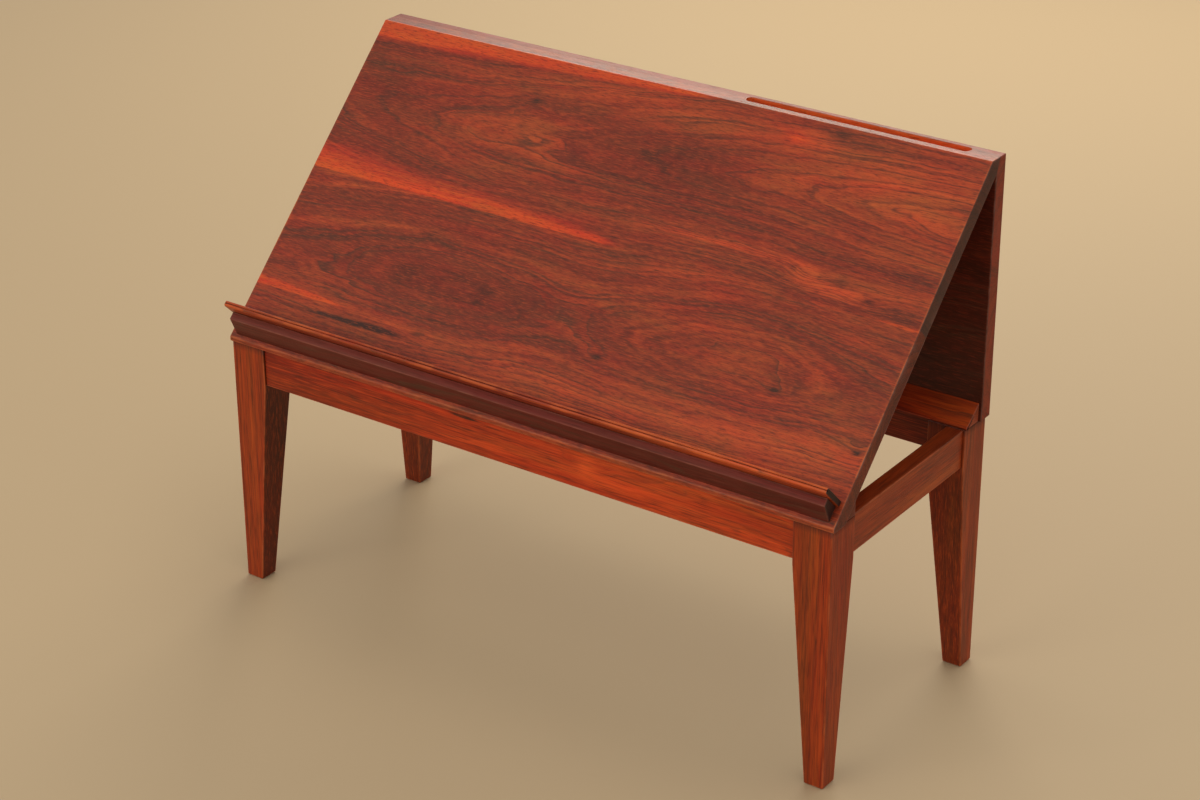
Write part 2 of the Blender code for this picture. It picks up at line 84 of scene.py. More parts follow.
def section_rings(corners, radii, insets, radius_loss):
    """Sections of a strip at many stations, as points (station, point, 2) and each point's wear.

    Side i runs from corner i to corner i+1, anticlockwise, and is the line normal . p = distance.
    insets[station, i] moves it inwards. A corner lies where two moved sides cross. Its rounding is
    centre + radius * (cos a, sin a), with a turning from one side's normal to the next one's.
    """
    corners = np.asarray(corners, float)
    along = unit(np.roll(corners, -1, axis=0) - corners)
    normal = np.stack([along[:, 1], -along[:, 0]], axis=1)
    before = np.roll(normal, 1, axis=0)
    distance = np.sum(normal * corners, axis=1) - insets
    pairs = np.stack([before, normal], axis=1)
    right_hand = np.stack([np.roll(distance, 1, axis=1), distance], axis=2)
    crossing = np.linalg.solve(pairs[None], right_hand[..., None])[..., 0]
    blocks, wear = [], []
    for i, radius in enumerate(radii):
        if radius:
            size = np.maximum(radius - radius_loss, radius * LEAST_RADIUS_SHARE)[:, None]
            pull = (before[i] + normal[i]) / (1 + before[i] @ normal[i])
            start = math.atan2(before[i][1], before[i][0])
            turn = math.remainder(math.atan2(normal[i][1], normal[i][0]) - start, math.tau)
            angles = start + turn * np.linspace(0, 1, ARC_STEPS + 1)
            arc = np.stack([np.cos(angles), np.sin(angles)], axis=1)
            points = (crossing[:, i] - pull * size)[:, None] + size[..., None] * arc
            flat_in = points[:, :1] - FADE[::-1, None] * along[i - 1]
            flat_out = points[:, -1:] + FADE[:, None] * along[i]
            blocks += [flat_in, points, flat_out]
            wear += [*FADE_WEAR[::-1], *np.ones(ARC_STEPS + 1), *FADE_WEAR]
        else:
            blocks.append(crossing[:, i:i + 1])
            wear.append(0.0)
    return np.concatenate(blocks, axis=1), np.array(wear)


# %% Stations along a strip
def end_stations(half_length, radius):
    """Places along a strip of length 2 * half_length, with its ends rounded by a radius.

    On the rounding the place is end - radius + radius * sin a and the inset is radius * (1 - cos a).
    Two more rings on the end face let the wear fade there. Gives place, inset, wear, end, on_cap.
    """
    a = np.linspace(0, math.pi / 2, ARC_STEPS + 1)
    place = np.concatenate([half_length - radius - FADE[::-1], half_length - radius + radius * np.sin(a),
                            np.full(2, half_length)])
    inset = np.concatenate([np.zeros(2), radius * (1 - np.cos(a)), radius + FADE])
    wear = np.concatenate([FADE_WEAR[::-1], np.ones(len(a)), FADE_WEAR])
    end = np.concatenate([np.zeros(2), np.sin(a) ** 2, np.ones(2)])
    cap = np.concatenate([np.zeros(2 + len(a), bool), np.ones(2, bool)])
    mirrored = [np.concatenate([column[::-1], column]) for column in (inset, wear, end, cap)]
    return [np.concatenate([-place[::-1], place]), *mirrored]


# %% Skin over the sections
MERGE_DISTANCE = 0.000001
SMOOTH_ANGLE = math.radians(35)


def skin(name, rings, wear, end, cut=0.0, painted_shade=0.0):
    """A closed mesh over rings of points: quads between neighbouring rings, one face on each end.

    rings is (station, point, 3). The other four, one value a point, become attributes that the
    materials read: worn arris, end grain, freshly cut wall, and a painted shade that darkens the
    faces under the stand. Points that fall together are merged.
    """
    count, around = rings.shape[:2]
    index = np.arange(count * around).reshape(count, around)
    after = np.roll(index, -1, axis=1)
    quads = np.stack([index[:-1], after[:-1], after[1:], index[1:]], axis=-1).reshape(-1, 4)
    mesh = bpy.data.meshes.new(name)
    ends = [index[0].tolist()[::-1], index[-1].tolist()]
    mesh.from_pydata(rings.reshape(-1, 3), [], quads.tolist() + ends)
    for label, values in (("wear", wear), ("end_grain", end), ("fresh_cut", cut),
                          ("painted_shade", painted_shade)):
        values = np.broadcast_to(values, (count, around)).astype(np.float32)
        mesh.attributes.new(label, "FLOAT", "POINT").data.foreach_set("value", values.ravel())
    bm = bmesh.new()
    bm.from_mesh(mesh)
    bmesh.ops.remove_doubles(bm, verts=bm.verts, dist=MERGE_DISTANCE)
    bmesh.ops.dissolve_degenerate(bm, edges=bm.edges, dist=MERGE_DISTANCE)
    bmesh.ops.recalc_face_normals(bm, faces=bm.faces)
    bm.to_mesh(mesh)
    bm.free()
    mesh.shade_smooth()
    mesh.set_sharp_from_angle(angle=SMOOTH_ANGLE)
    obj = bpy.data.objects.new(name, mesh)
    bpy.context.scene.collection.objects.link(obj)
    return obj


def stand_in(obj, node):
    """The new piece rides on the stand and is shown in place of its CAD node."""
    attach(obj, "root")
    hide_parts(node)
    low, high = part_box(node)
    points = np.array([v.co for v in obj.data.vertices])
    grown = max(np.max(np.array(low) - points.min(0)), np.max(points.max(0) - np.array(high)))
    print(f"{obj.name}: {len(obj.data.polygons)} faces, at most {grown * 1000:.2f} mm past its node's box")
    return obj


def strip_along_x(name, section, radii, glued, half_length, notch=None, end_wear=1.0):
    """A strip along X with a (y, z) section.

    Glued sides stay where they are at the ends. end_wear says how pale the end arrises are: worn
    wood, and where it is above 1 also a painted highlight.
    """
    place, inset, station_wear, end, cap = end_stations(half_length, ARRIS)
    station_wear = station_wear * end_wear
    if notch:
        inner = notch.stations()
        middle = [len(place) // 2] * len(inner)
        place = np.insert(place, middle, inner)
        inset, station_wear, end, cap = (
            np.insert(column, middle, 0) for column in (inset, station_wear, end, cap))
    free = np.array([0.0 if i in glued else 1.0 for i in range(len(section))])
    points, section_wear = section_rings(section, radii, inset[:, None] * free, inset)
    cut = 0.0
    if notch:
        points, section_wear, cut = notch.cut(points, section_wear, place)
    along_x = np.broadcast_to(place[:, None, None], points.shape[:2] + (1,))
    rings = np.concatenate([along_x, points], axis=2)
    wear = np.where(cap[:, None], station_wear[:, None], np.maximum(station_wear[:, None], section_wear))
    obj = skin(name, rings, wear, end[:, None], cut)
    return stand_in(obj, name.removeprefix("walnut_"))


# %% [markdown]
# The reading board leans at 45 degrees. Its nose stands on the legs, and its upper end meets the
# back panel in a mitre under a narrow flat top. It helps to have a second pair of directions in the
# (y, z) plane: rise, up the board from its nose, and out, square to its face. The board and the
# ledge on it are drawn in these.

# %% Directions of the board
BASE_HEIGHT = 0.292
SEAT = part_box("board_lower_plank")[0].z
NOSE_HEIGHT = 0.0053
NOSE = np.array([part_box("board_lower_plank")[0].y, SEAT + NOSE_HEIGHT])
SLOPE = math.sqrt(0.5) * np.array([1, 1])
OUTWARD = math.sqrt(0.5) * np.array([-1, 1])
BOARD_THICKNESS = 0.019
TOP_Z = cad_box[1].z
TOP_HALF_WIDTH = cad_box[1].x
GLUE_LINE = 0.214
PANEL_INNER_Y, PANEL_OUTER_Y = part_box("panel_lower_plank")[0].y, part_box("panel_lower_plank")[1].y


def on_board(rise, out):
    return NOSE + SLOPE * rise + OUTWARD * out


def meet(start, direction, axis, value):
    """The point of a line where y (axis 0) or z (axis 1) has a value."""
    return start + direction * (value - start[axis]) / direction[axis]


print("nose", NOSE.round(4), "board length", round(float((TOP_Z - NOSE[1]) / SLOPE[1]), 4))

# %% [markdown]
# The pencil groove is a slot with round ends in the flat top. It is cut right across the mitre, so
# the board's plank holds its front wall and the panel's plank its back wall. A Boolean would do,
# but its rim would be a hard edge. Here the section itself dips into the groove: four points
# of it lie together on the mitre outside the groove, and part inside it.

# %% Pencil groove
GROOVE_DEPTH = 0.007
GROOVE_RIM = 0.0004
GROOVE_X = (0.08775, 0.35125)
GROOVE_Y = (0.14213, 0.15413)
GROOVE_RADIUS = (GROOVE_Y[1] - GROOVE_Y[0]) / 2


class Groove:
    """The part of the groove in one plank: from the mitre to its wall at wall_y."""

    def __init__(self, wall_y, mitre_top, mitre_along, first):
        self.wall_y, self.mitre_top, self.mitre_along, self.first = wall_y, mitre_top, mitre_along, first

    def stations(self):
        """Places along X: close together round each end, where x = centre + radius * sin a."""
        step = GROOVE_RADIUS * np.sin(np.linspace(0, math.pi / 2, 13))
        return np.concatenate([GROOVE_X[0] + GROOVE_RADIUS - step[::-1], GROOVE_X[1] - GROOVE_RADIUS + step])

    def cut(self, points, wear, place):
        """Adds rim, wall and floor points beside the mitre's top point.

        The wall is mitre + (wall - mitre) * sqrt(1 - t * t), where t goes from 0 to 1 round an end.
        """
        past = np.maximum(GROOVE_X[0] + GROOVE_RADIUS - place, place - GROOVE_X[1] + GROOVE_RADIUS)
        t = past / GROOVE_RADIUS
        open_share = np.sqrt(np.clip(1 - np.clip(t, 0, None) ** 2, 0, 1))[:, None]
        inside = (open_share > 0).astype(float)
        reach = (self.wall_y - self.mitre_top[0]) * open_share
        rim = np.minimum(GROOVE_RIM, np.abs(reach)) * inside
        side = math.copysign(1.0, self.wall_y - self.mitre_top[0])
        at = np.argmin(np.linalg.norm(points[len(points) // 2] - self.mitre_top, axis=1))
        top = points[:, at]
        shape = [  # each row: across, down, wear, freshly cut
            (reach + side * rim * 4, 0 * rim, 0.0, 0.0),
            (reach + side * rim, 0 * rim, 0.5, 0.0),
            (reach + side * rim * 0.3, rim * 0.3, 1.0, 0.5),
            (reach, rim, 1.0, 1.0),
            (reach, rim * 3, 0.3, 1.0),
            (reach, GROOVE_DEPTH * inside, 0.0, 1.0),
        ]
        added = [top + np.concatenate([dy, -dz], axis=1) for dy, dz, *_ in shape]
        added.append(top + self.mitre_along * (-GROOVE_DEPTH / self.mitre_along[1]) * inside)
        new_wear = [row[2] for row in shape] + [0.0]
        fresh = [row[3] for row in shape] + [1.0]
        if not self.first:
            added, new_wear, fresh = added[::-1], new_wear[::-1], fresh[::-1]
        points = np.concatenate([points[:, :at], np.stack(added, axis=1), points[:, at + 1:]], axis=1)
        cut = np.zeros(points.shape[:2])
        cut[:, at:at + len(fresh)] = inside * np.array(fresh)
        return points, np.concatenate([wear[:at], new_wear, wear[at + 1:]]), cut


# %% [markdown]
# The mitre plane runs from the board's underside up to where the board's face and the panel's
# outer face would meet. Real glue lines are a hair wide, so the shown planks come closer together
# than the 0.3 mm that the CAD model keeps between its solids.

# %% Reading board
GLUE_GAP = 0.00004
NOSE_TOP_RADIUS = 0.0022
NOSE_BOTTOM_RADIUS = 0.0012

underside = on_board(0, -BOARD_THICKNESS)
outer_corner = meet(NOSE, SLOPE, 0, PANEL_OUTER_Y)
inner_corner = meet(underside, SLOPE, 0, PANEL_INNER_Y)
mitre_along = unit(outer_corner - inner_corner)
mitre_normal = np.array([mitre_along[1], -mitre_along[0]])


def mitre_ends(side):
    """Where one plank's mitred end meets the flat top and the plank's inner face."""
    foot = inner_corner + mitre_normal * side * GLUE_GAP / 2
    top = meet(foot, mitre_along, 1, TOP_Z)
    if side > 0:
        return top, meet(foot, mitre_along, 0, PANEL_INNER_Y)
    return top, foot - mitre_along * ((foot - underside) @ OUTWARD) / (mitre_along @ OUTWARD)


front_top = meet(NOSE, SLOPE, 1, TOP_Z)
board_mitre_top, board_mitre_foot = mitre_ends(-1)
low_joint = GLUE_LINE - GLUE_GAP / 2
# Its end arrises are paler than wear alone makes them: a painted highlight along the end arrises.
lower_plank = strip_along_x(
    "walnut_board_lower_plank",
    [(NOSE[0], SEAT), meet(underside, SLOPE, 1, SEAT), on_board(low_joint, -BOARD_THICKNESS),
     on_board(low_joint, 0), NOSE],
    [NOSE_BOTTOM_RADIUS, ARRIS, 0, 0, NOSE_TOP_RADIUS], {2}, TOP_HALF_WIDTH,
    end_wear=1.7)
high_joint = GLUE_LINE + GLUE_GAP / 2
upper_plank = strip_along_x(
    "walnut_board_upper_plank",
    [on_board(high_joint, -BOARD_THICKNESS), board_mitre_foot, board_mitre_top, front_top,
     on_board(high_joint, 0)],
    [0, 0, 0, ARRIS * 0.6, 0], {1, 4}, TOP_HALF_WIDTH,
    notch=Groove(GROOVE_Y[0], board_mitre_top, mitre_along, False))

# %% Back panel
PANEL_JOINT_HEIGHT = 0.150
panel_mitre_top, panel_mitre_foot = mitre_ends(1)
low_joint_z = SEAT + PANEL_JOINT_HEIGHT - GLUE_GAP / 2
panel_lower = strip_along_x(
    "walnut_panel_lower_plank",
    [(PANEL_INNER_Y, SEAT), (PANEL_OUTER_Y, SEAT), (PANEL_OUTER_Y, low_joint_z),
     (PANEL_INNER_Y, low_joint_z)],
    [0, ARRIS, 0, 0], {2}, TOP_HALF_WIDTH)
high_joint_z = SEAT + PANEL_JOINT_HEIGHT + GLUE_GAP / 2
panel_upper = strip_along_x(
    "walnut_panel_upper_plank",
    [(PANEL_INNER_Y, high_joint_z), (PANEL_OUTER_Y, high_joint_z), (PANEL_OUTER_Y, TOP_Z), panel_mitre_top,
     panel_mitre_foot],
    [0, 0, ARRIS, 0, 0], {0, 3}, TOP_HALF_WIDTH,
    notch=Groove(GROOVE_Y[1], panel_mitre_top, mitre_along, True))

# %% [markdown]
# The book ledge is two strips: a thin shelf, square to the board, and under it a moulding with an
# upright fascia and a slanted lower face. The step between them throws the dark line that runs
# along the front of the stand.

# %% Book ledge
FOOT_GAP = 0.0003
SHELF_RISE, SHELF_THICKNESS, SHELF_DEPTH, SHELF_RADIUS = 0.0219, 0.0064, 0.0376, 0.0022
MOULDING_DEPTH, FASCIA_HEIGHT, LEDGE_FOOT_RISE = 0.0226, 0.0085, 0.0047
moulding_top = SHELF_RISE - FOOT_GAP

ledge_shelf = strip_along_x(
    "walnut_ledge_shelf",
    [on_board(SHELF_RISE, FOOT_GAP), on_board(SHELF_RISE + SHELF_THICKNESS, FOOT_GAP),
     on_board(SHELF_RISE + SHELF_THICKNESS, SHELF_DEPTH), on_board(SHELF_RISE, SHELF_DEPTH)],
    [0, 0, SHELF_RADIUS, SHELF_RADIUS], set(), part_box("ledge_shelf")[1].x, end_wear=0.2)
ledge_moulding = strip_along_x(
    "walnut_ledge_moulding",
    [on_board(LEDGE_FOOT_RISE, FOOT_GAP), on_board(moulding_top, FOOT_GAP),
     on_board(moulding_top, MOULDING_DEPTH), on_board(moulding_top - FASCIA_HEIGHT, MOULDING_DEPTH)],
    [0, 0, ARRIS / 2, ARRIS / 2], set(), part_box("ledge_moulding")[1].x, end_wear=0.4)

# %% [markdown]
# Two triangular cleats close the corners under the top: one behind the board's nose and one at the
# foot of the panel, whose slanted face shows through the open end.

# %% Cleats
front_low, front_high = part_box("front_cleat")
front_cleat = strip_along_x(
    "walnut_front_cleat",
    [(front_low.y, front_low.z), (front_high.y, front_low.z), (front_high.y, front_high.z)],
    [0, ARRIS, 0], set(), front_high.x)
back_low, back_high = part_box("back_cleat")
CLEAT_BLUNT = 0.0013
back_cleat = strip_along_x(
    "walnut_back_cleat",
    [(back_low.y, back_low.z), (back_high.y, back_low.z), (back_high.y, back_high.z),
     (back_low.y, back_low.z + CLEAT_BLUNT)],
    [0, 0, 0, ARRIS / 2], set(), back_high.x)

# %% [markdown]
# The base is four rails between four legs. A leg is square at the top, where the rails meet it,
# and below that it tapers on its two inner faces only, so its outer faces stay plumb. That is the
# same section function again, with the two inner sides moved in by an amount that grows towards
# the foot. The faces that look in under the stand, and the rails' tops, get a painted shade: an
# attribute that darkens their colour where the stand shades them.

# %% Rails
RAIL_TOP_PAINTED_SHADE = 0.6


def facing(rings, axis, way):
    """1 on the points of the face that looks the given way along an axis, 0 on the others."""
    reach = rings[..., axis] * way
    return (reach > reach.max(axis=1, keepdims=True) - ARRIS / 2).astype(float)


def rail(side, axis):
    """A rail along X or Y, its four long edges softened, as long as its CAD node."""
    low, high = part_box("apron_" + side)
    across = 1 - axis
    place, inset, _, end, cap = end_stations((high[axis] - low[axis]) / 2, ARRIS / 4)
    section = [(low[across], low.z), (high[across], low.z), (high[across], high.z), (low[across], high.z)]
    points, section_wear = section_rings(section, [ARRIS] * 4, np.repeat(inset[:, None], 4, axis=1), inset)
    rings = np.zeros(points.shape[:2] + (3,))
    rings[..., axis] = (high[axis] + low[axis]) / 2 + place[:, None]
    rings[..., [across, 2]] = points
    wear = np.where(cap[:, None], 0, section_wear)
    # Painted shade: the rail's inner face is darkened fully, and its top under the board in part.
    inside = facing(rings, across, -1 if low[across] + high[across] > 0 else 1)
    inside = np.maximum(inside, facing(rings, 2, 1) * RAIL_TOP_PAINTED_SHADE)
    piece = skin("walnut_apron_" + side, rings, wear, end[:, None], painted_shade=inside)
    return stand_in(piece, "apron_" + side)


rails = {side: rail(side, axis) for side, axis in (("front", 0), ("back", 0), ("left", 1), ("right", 1))}

# %% Legs
LEG_TOP_SIDE, LEG_FOOT_SIDE = 0.0435, 0.022
TAPER_TOP = 0.246
FOOT_CHAMFER = 0.0012
FRONT_LEG_PAINTED_SHADE = 1.4


def leg(end, hand):
    """A leg with its section at 40 heights. Side length = foot + (top - foot) * z / taper_top."""
    node = f"leg_{end}_{hand}"
    low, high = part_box(node)
    heights = np.concatenate([
        [0, 0, 0, FOOT_CHAMFER], FOOT_CHAMFER + FADE, np.linspace(0.01, TAPER_TOP, 28),
        np.linspace(TAPER_TOP + 0.006, BASE_HEIGHT, 6)])
    chamfer = np.zeros(len(heights))
    chamfer[:3] = FOOT_CHAMFER + np.array([0.0016, 0.0004, 0])
    taper = (LEG_TOP_SIDE - LEG_FOOT_SIDE) * np.clip(1 - heights / TAPER_TOP, 0, 1)
    inner_y, inner_x = (1 if end == "front" else -1), (1 if hand == "left" else -1)
    outward = [(0, -1), (1, 0), (0, 1), (-1, 0)]
    is_inner = np.array([float(nx * inner_x > 0 or ny * inner_y > 0) for nx, ny in outward])
    insets = chamfer[:, None] + taper[:, None] * is_inner
    section = [(low.x, low.y), (high.x, low.y), (high.x, high.y), (low.x, high.y)]
    points, section_wear = section_rings(section, [ARRIS] * 4, insets, np.zeros(len(heights)))
    upright = np.broadcast_to(heights[:, None, None], points.shape[:2] + (1,))
    rings = np.concatenate([points, upright], axis=2)
    ring_wear = np.zeros(len(heights))
    ring_wear[1:5] = [0.4, 1, 1, 0.4]
    wear = np.maximum(ring_wear[:, None], section_wear)
    wear[:2] = ring_wear[:2, None]
    end_grain = np.zeros(len(heights))
    end_grain[:3] = end_grain[-1] = 1
    # Painted shade on the leg's inner faces under the stand: stronger towards the foot, and strongest on the
    # front legs' inner sides.
    fading = np.interp(heights, [0, BASE_HEIGHT], [1, 0.5])[:, None]
    deep = FRONT_LEG_PAINTED_SHADE if end == "front" else fading
    inside = np.maximum(facing(rings, 0, inner_x) * deep, facing(rings, 1, inner_y) * fading)
    piece = skin("walnut_" + node, rings, wear, end_grain[:, None], painted_shade=inside)
    return stand_in(piece, node)


legs = {(end, hand): leg(end, hand) for end in ("front", "back") for hand in ("left", "right")}

# %% [markdown]
# Now the timber itself. A plank is a slice through a tree: its figure is the pattern that the
# year rings make where the saw crossed them. So the material first works out how far each point
# lies from the tree's heart, and colours it by that distance. Where the heart comes slowly nearer
# along the plank the rings draw nested arches, and where it comes near and goes away again they
# close into loops. This board has both. Knots push the rings apart, and sapwood shows as orange
# wedges along the edges.
#
# A small helper keeps the node building readable: any input takes a number or another node's
# output.

# %% Node helper
class Graph:
    """Adds nodes to one node tree. Inputs take plain values or other nodes' outputs."""

    def __init__(self, tree):
        self.tree = tree

    def feed(self, socket, value):
        if isinstance(value, bpy.types.NodeSocket):
            self.tree.links.new(value, socket)
        else:
            socket.default_value = value

    def node(self, kind, inputs=(), **settings):
        made = self.tree.nodes.new(kind)
        for name, value in settings.items():
            setattr(made, name, value)
        for name, value in dict(inputs).items():
            self.feed(made.inputs[name], value)
        return made

    def math(self, operation, *values, clamp=False):
        made = self.node("ShaderNodeMath", operation=operation, use_clamp=clamp)
        for socket, value in zip(made.inputs, values):
            self.feed(socket, value)
        return made.outputs[0]

    def times(self, first, second, plus=None, clamp=False):
        """first * second, and plus a third value where there is one."""
        if plus is None:
            return self.math("MULTIPLY", first, second, clamp=clamp)
        return self.math("MULTIPLY_ADD", first, second, plus, clamp=clamp)

    def vector(self, operation, *values):
        return self.node("ShaderNodeVectorMath", enumerate(values), operation=operation).outputs[0]

    def attribute(self, name):
        return self.node("ShaderNodeAttribute", attribute_name=name).outputs["Fac"]

    def centred(self, value):
        return self.math("SUBTRACT", value, 0.5)

    def parts(self, vector):
        return self.node("ShaderNodeSeparateXYZ", {0: vector}).outputs

    def noise(self, vector, scale, detail=2.0, roughness=0.5, output="Fac"):
        """Noise over a vector that is first stretched by scale, a number for each direction."""
        stretched = self.vector("MULTIPLY", vector, scale)
        return self.node("ShaderNodeTexNoise", {
            "Vector": stretched, "Scale": 1.0, "Detail": detail, "Roughness": roughness}).outputs[output]

    def noise_line(self, value, scale, detail=2.0, roughness=0.5):
        """Noise along one value."""
        return self.node("ShaderNodeTexNoise", {
            "W": value, "Scale": scale, "Detail": detail, "Roughness": roughness},
            noise_dimensions="1D").outputs["Fac"]

    def span(self, value, low, high, to_low=0.0, to_high=1.0, smooth=True):
        """Carries the range low to high over to to_low to to_high, held at both ends."""
        return self.node("ShaderNodeMapRange", {
            "Value": value, "From Min": low, "From Max": high, "To Min": to_low, "To Max": to_high},
            interpolation_type="SMOOTHSTEP" if smooth else "LINEAR").outputs["Result"]

    def mix(self, factor, first, second, blend="MIX"):
        made = self.node("ShaderNodeMix", data_type="RGBA", blend_type=blend)
        for name, value in (("Factor_Float", factor), ("A_Color", first), ("B_Color", second)):
            self.feed(next(s for s in made.inputs if s.identifier == name), value)
        return next(s for s in made.outputs if s.identifier == "Result_Color")

    def patterns(self, place, put, rows):
        """Noises as outputs. Each row: its name, stretch, octaves, roughness, and the range it shows."""
        for name, scale, octaves, roughness, low, high in rows:
            noise = self.noise(place, scale, octaves, roughness)
            self.feed(put[name], self.span(noise, low, high, smooth=False))

    def surface(self, values):
        """Feeds inputs of the Principled shader that a new material has."""
        for name, value in values.items():
            self.feed(self.tree.nodes["Principled BSDF"].inputs[name], value)


def new_material(name):
    made = bpy.data.materials.new(name)
    made.use_nodes = True
    return made, Graph(made.node_tree)


def new_group(name, inputs, outputs):
    """An empty shader node group, as (Graph, group input, group output).

    The names of its sockets come in one line each, split by commas. A socket is a Float unless its
    name is followed by another kind.
    """
    tree = bpy.data.node_groups.new(name, "ShaderNodeTree")
    for way, sockets in (("INPUT", inputs), ("OUTPUT", outputs)):
        for socket in sockets.split(", "):
            label, _, kind = socket.partition(": ")
            tree.interface.new_socket(label, in_out=way, socket_type="NodeSocket" + (kind or "Float"))
    ends = tree.nodes.new("NodeGroupInput").outputs, tree.nodes.new("NodeGroupOutput").inputs
    return Graph(tree), *ends


def linear(srgb):
    """sRGB values of 0 to 255 as the linear colour that a shader takes."""
    scaled = np.array(srgb) / 255
    rgb = np.where(scaled <= 0.04045, scaled / 12.92, ((scaled + 0.055) / 1.055) ** 2.4)
    return (*rgb.tolist(), 1.0)


# %% Distance from the heart
graph, given, put = new_group(
    "heart_distance", "Place: Vector, Heart Across, Heart Depth, Wander, Swelling",
    "Distance, Flowing: Vector")
slow = graph.parts(graph.noise(given["Place"], (2.2, 8.0, 8.0), 2.0, output="Color"))
place = graph.parts(given["Place"])
across = graph.math("SUBTRACT", place[1], given["Heart Across"])
across = graph.times(graph.centred(slow[0]), given["Wander"], across)
depth = graph.math("ADD", place[2], given["Heart Depth"])
depth = graph.times(graph.centred(slow[1]), given["Wander"], depth)
distance = graph.math("SQRT", graph.times(across, across, graph.times(depth, depth)))
distance = graph.math("ADD", distance, given["Swelling"])
for scale, octaves, ripple in (((6.0, 30.0, 30.0), 1.0, 0.008), ((18.0, 80.0, 80.0), 1.5, 0.0065)):
    noise = graph.centred(graph.noise(given["Place"], scale, octaves, 0.55))
    distance = graph.times(noise, ripple, distance)
graph.feed(put["Distance"], distance)
flowing = graph.node("ShaderNodeCombineXYZ", {"X": place[0], "Y": distance, "Z": place[1]})
graph.feed(put["Flowing"], flowing.outputs[0])
heart_distance = graph.tree

# %% Year rings
graph, given, put = new_group(
    "year_rings", "Place: Vector, Distance, Flowing: Vector, Ring Width", "Bands, Lines, Flow, Curl")
years = graph.math("DIVIDE", given["Distance"], given["Ring Width"])
uneven = graph.noise_line(years, 0.55, 3.0, 0.6)
graph.feed(put["Bands"], graph.span(uneven, 0.25, 0.75, smooth=False))
saw = graph.math("FRACT", graph.times(uneven, 2.0, years))
line = graph.times(graph.math("POWER", saw, 3.5), graph.span(saw, 0.86, 1.0, 1.6, 0.0))
strong_year = graph.span(graph.noise_line(years, 0.31, 0.0), 0.36, 0.54)
strong_place = graph.span(graph.noise(given["Place"], (5.0, 24.0, 24.0), 1.0), 0.34, 0.56, 0.2, 1.0)
graph.feed(put["Lines"], graph.times(line, graph.times(strong_year, strong_place)))
graph.patterns(given["Flowing"], put, (("Flow", (3.0, 50.0, 10.0), 3.0, 0.6, 0.28, 0.72),
                                       ("Curl", (14.0, 330.0, 40.0), 4.0, 0.75, 0.36, 0.64)))
year_rings = graph.tree

# %% [markdown]
# Over the rings lies a finer pattern that every board has: long streaks, short flecks in every
# size, open pores as thin dark dashes, and patches that are redder or browner. Noise that is
# stretched along the grain gives each of them, and only the stretch and the size differ.

# %% Fibres, pores and tint
graph, given, put = new_group("fibres", "Place: Vector", "Streaks, Flecks, Fine, Pores, Tint")
graph.patterns(given["Place"], put, (
    ("Streaks", (5.0, 150.0, 150.0), 4.0, 0.6, 0.25, 0.75),
    ("Flecks", (22.0, 130.0, 130.0), 6.0, 0.9, 0.38, 0.62),
    ("Fine", (90.0, 800.0, 800.0), 2.0, 0.7, 0.25, 0.75),
    ("Pores", (110.0, 2600.0, 2600.0), 1.0, 0.5, 0.60, 0.72),
    ("Tint", (10.0, 38.0, 38.0), 5.0, 0.7, 0.32, 0.68)))
fibres = graph.tree

# %% [markdown]
# A knot is where a branch left the trunk. The rings swell round it, which a smooth hump added to
# their distance gives, and its middle is dark. Both fall off with the distance from the knot as
# exp(-(x / length)^2 - (y / width)^2), longer along the grain than across it. The same hump, put
# on as a colour, makes the small orange or dark patches of the board, and a few broad ones that are
# painted sheen, painted highlight or painted shade.

# %% Knots and patches
graph, given, put = new_group("knot", "Place: Vector, Along, Across, Length, Width", "Hump, Core")
place = graph.parts(given["Place"])
x = graph.math("DIVIDE", graph.math("SUBTRACT", place[0], given["Along"]), given["Length"])
y = graph.math("DIVIDE", graph.math("SUBTRACT", place[1], given["Across"]), given["Width"])
square = graph.times(x, x, graph.times(y, y))
graph.feed(put["Hump"], graph.math("EXPONENT", graph.times(square, -1.0)))
graph.feed(put["Core"], graph.math("EXPONENT", graph.times(square, -18.0)))
knot = graph.tree

# %% Sapwood wedges
graph, given, put = new_group("wedge", "Place: Vector, From, To, Base, Height, Softness", "Mask")
place = graph.parts(given["Place"])
gone = graph.math("DIVIDE", graph.math("SUBTRACT", place[0], given["From"]),
                  graph.math("SUBTRACT", given["To"], given["From"]))
left = graph.math("SUBTRACT", 1.0, gone, clamp=True)
ragged = graph.centred(graph.noise(given["Place"], (7.0, 190.0, 190.0), 3.0, 0.6))
taper = graph.math("POWER", graph.math("MAXIMUM", left, 0.001), 0.55)
height = graph.times(given["Height"], taper)
share = graph.math("DIVIDE", graph.math("SUBTRACT", place[1], given["Base"]), height)
share = graph.times(ragged, given["Softness"], share)
upper_side = graph.span(share, graph.math("SUBTRACT", 1.0, given["Softness"]), 1.0, 1.0, 0.0)
lower_side = graph.span(share, graph.times(given["Softness"], -0.5), 0.0)
graph.feed(put["Mask"], graph.times(graph.times(upper_side, lower_side), graph.span(left, 0.0, 0.1)))
wedge = graph.tree

# %% [markdown]
# The finish group turns those patterns into what the eye sees: a colour between dark, middle and
# light heartwood, orange sapwood, bright wood in the groove, a painted shade on the faces under the
# stand, darker end grain, and worn arrises where the oil has gone and the wood is paler and drier;
# on some arrises that paleness is also a painted highlight. Roughness and height come from the
# same patterns, so that the gloss breaks up along the grain just as the colour does.

# %% Finish
SAP_RED, SAP_ORANGE = linear((180, 46, 25)), linear((216, 84, 28))
REDDER, BROWNER = (1.12, 0.84, 0.90, 1.0), (0.86, 1.22, 1.10, 1.0)
SHADE, YEAR_LINE, FRESH = linear((62, 32, 22)), linear((82, 44, 30)), linear((238, 106, 48))
PAINTED_SHADE_BROWN, DARK_FIBRE, PORE = linear((44, 14, 8)), linear((70, 30, 18)), linear((44, 18, 12))
END_GRAIN, WORN_END_AND_HIGHLIGHT = linear((46, 26, 20)), linear((140, 96, 84))

